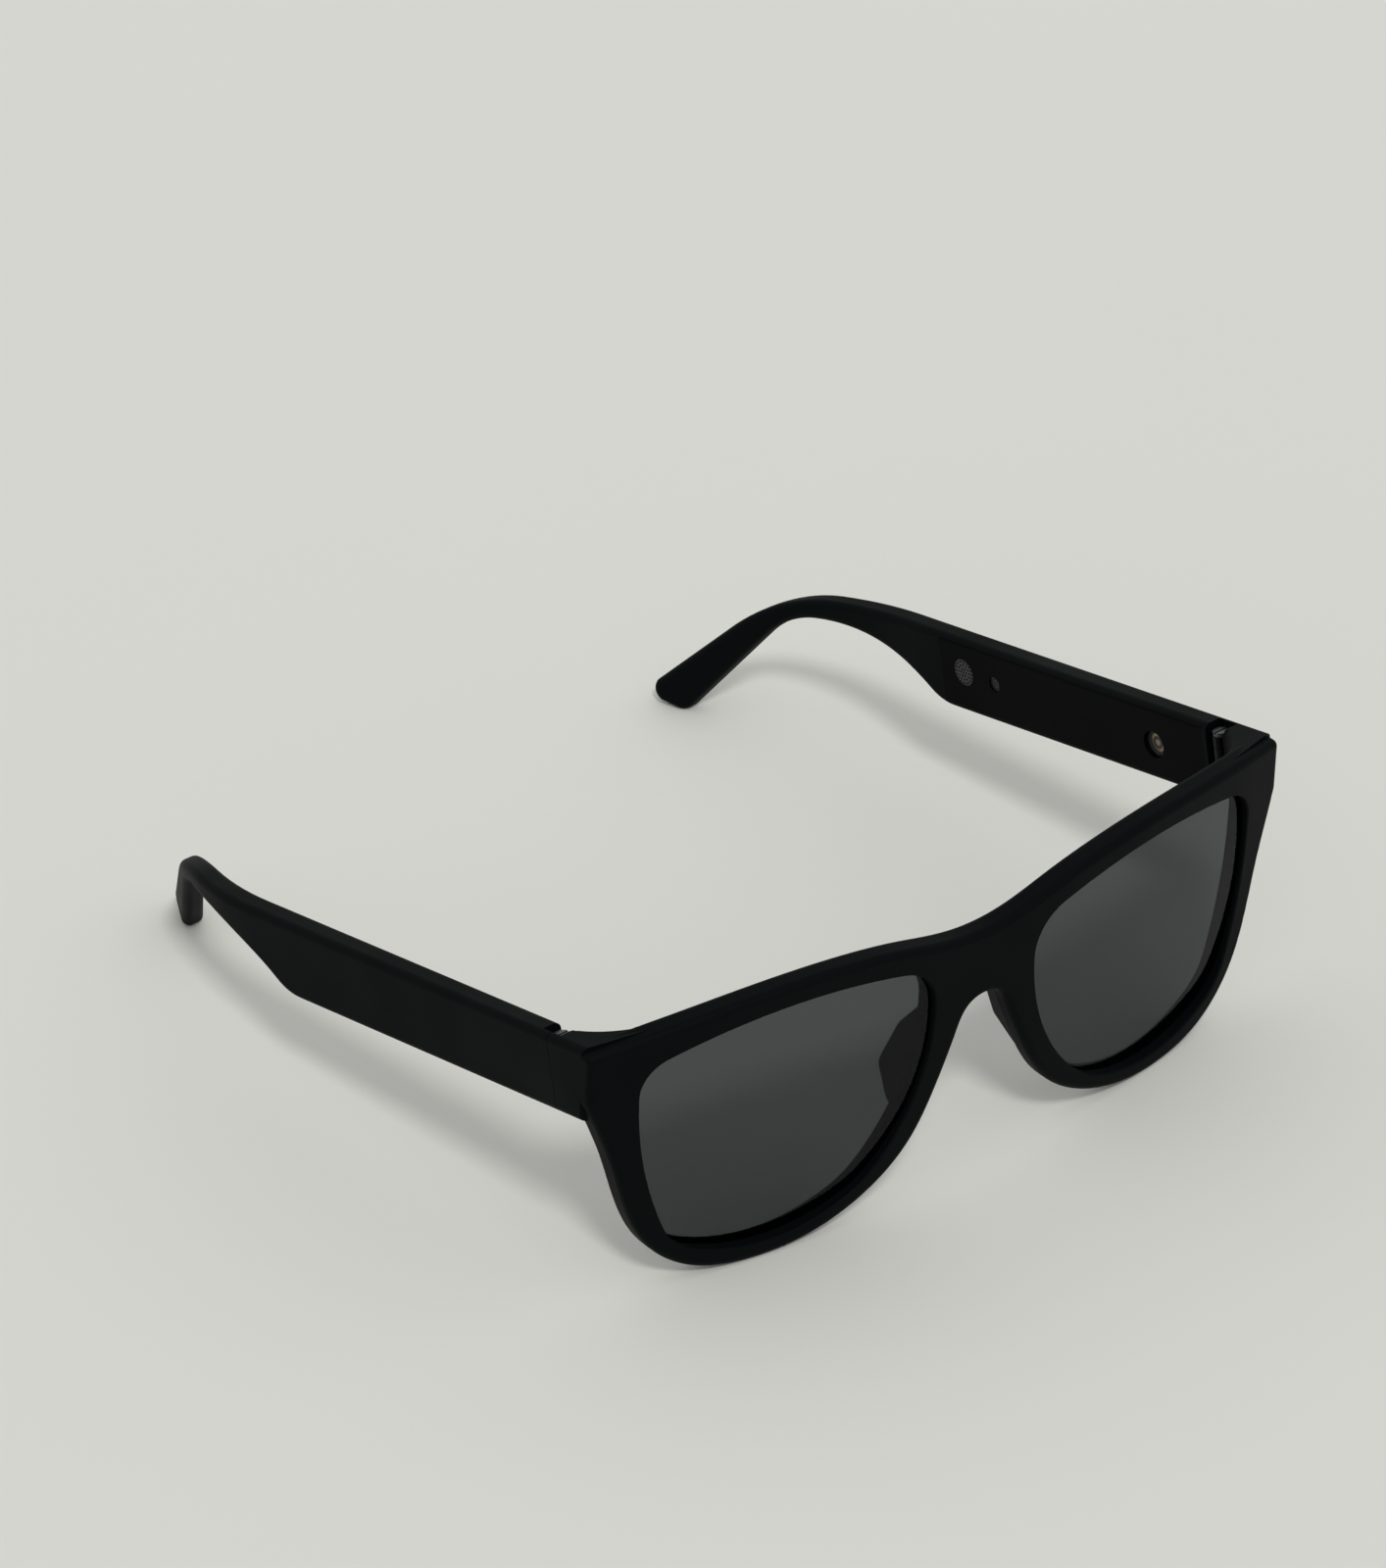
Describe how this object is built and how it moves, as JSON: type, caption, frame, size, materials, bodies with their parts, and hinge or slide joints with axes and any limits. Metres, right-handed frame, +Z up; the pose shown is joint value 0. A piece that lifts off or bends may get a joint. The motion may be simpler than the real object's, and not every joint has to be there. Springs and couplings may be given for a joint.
{
  "type": "smart glasses",
  "caption": "Smart glasses with smoke lenses, folding temples that hold speakers and cells, and charging sockets.",
  "frame": {"origin": "bottom centre of the whole object's box as it stands open on its rims and ear tips", "axes": "+Z up; the front faces -Y and the temples run back along +Y; +X is the wearer's left"},
  "size_m": [0.1444, 0.1442, 0.0511],
  "materials": {
    "frame_plastic": "fine matte moulding with a soft sheen",
    "cover_plastic": "fine matte moulding",
    "lens_smoke": "polished grey tint",
    "pad_rubber": "satin moulded",
    "hinge_steel": "brushed",
    "screw_steel": "turned",
    "core_steel": "rolled strip",
    "grille_metal": "perforated, dark satin",
    "speaker_metal": "satin",
    "gasket_foam": "foam",
    "can_metal": "satin",
    "carrier_plastic": "matte",
    "contact_gold": "plated",
    "magnet_nickel": "plated",
    "board_resin": "solder mask",
    "cell_foil": "foil pouch",
    "flex_film": "film",
    "clear_plastic": "clear",
    "button_plastic": "matte",
    "switch_plastic": "matte"
  },
  "bodies": {
    "front": {"front_frame": "frame_plastic", "lens_left": "lens_smoke", "lens_right": "lens_smoke", "nose_pad_left": "pad_rubber", "nose_pad_right": "pad_rubber", "hinge_front_leaf_left": "hinge_steel", "hinge_front_leaf_right": "hinge_steel", "hinge_screw_left": "screw_steel", "hinge_screw_right": "screw_steel"},
    "temple_left": {"temple_shell_left": "frame_plastic", "temple_cover_left": "cover_plastic", "hinge_temple_leaf_left": "hinge_steel", "leaf_screws_left": "screw_steel", "ear_core_left": "core_steel", "speaker_grille_left": "grille_metal", "speaker_left": "speaker_metal", "speaker_gasket_left": "gasket_foam", "mic_mesh_left": "grille_metal", "microphone_left": "can_metal", "charge_carrier_left": "carrier_plastic", "charge_pins_left": "contact_gold", "charge_magnet_left": "magnet_nickel", "circuit_board_left": "board_resin", "battery_left": "cell_foil", "flex_lead_left": "flex_film", "aerial_left": "flex_film", "light_pipe_left": "clear_plastic"},
    "temple_right": {"temple_shell_right": "frame_plastic", "temple_cover_right": "cover_plastic", "hinge_temple_leaf_right": "hinge_steel", "leaf_screws_right": "screw_steel", "ear_core_right": "core_steel", "speaker_grille_right": "grille_metal", "speaker_right": "speaker_metal", "speaker_gasket_right": "gasket_foam", "mic_mesh_right": "grille_metal", "microphone_right": "can_metal", "charge_carrier_right": "carrier_plastic", "charge_pins_right": "contact_gold", "charge_magnet_right": "magnet_nickel", "circuit_board_right": "board_resin", "battery_right": "cell_foil", "flex_lead_right": "flex_film", "aerial_right": "flex_film", "light_pipe_right": "clear_plastic", "tact_switch": "switch_plastic"},
    "button": {"power_button": "button_plastic", "switch_plunger": "button_plastic"}
  },
  "joints": [
    {"name": "temple_left_fold", "type": "hinge", "parent": "front", "child": "temple_left", "pos_m": [0.0692, -0.052, 0.04046], "axis": [0, 0.1989, 0.98], "range_deg": [0, 84]},
    {"name": "temple_right_fold", "type": "hinge", "parent": "front", "child": "temple_right", "pos_m": [-0.0692, -0.052, 0.04046], "axis": [0, -0.1989, -0.98], "range_deg": [0, 71]},
    {"name": "power_button_press", "type": "slide", "parent": "temple_right", "child": "button", "axis": [0, 0.1989, 0.98], "range_m": [0, 0.0003], "stiffness_N_per_m": 3000, "springref_m": -0.0003}
  ]
}
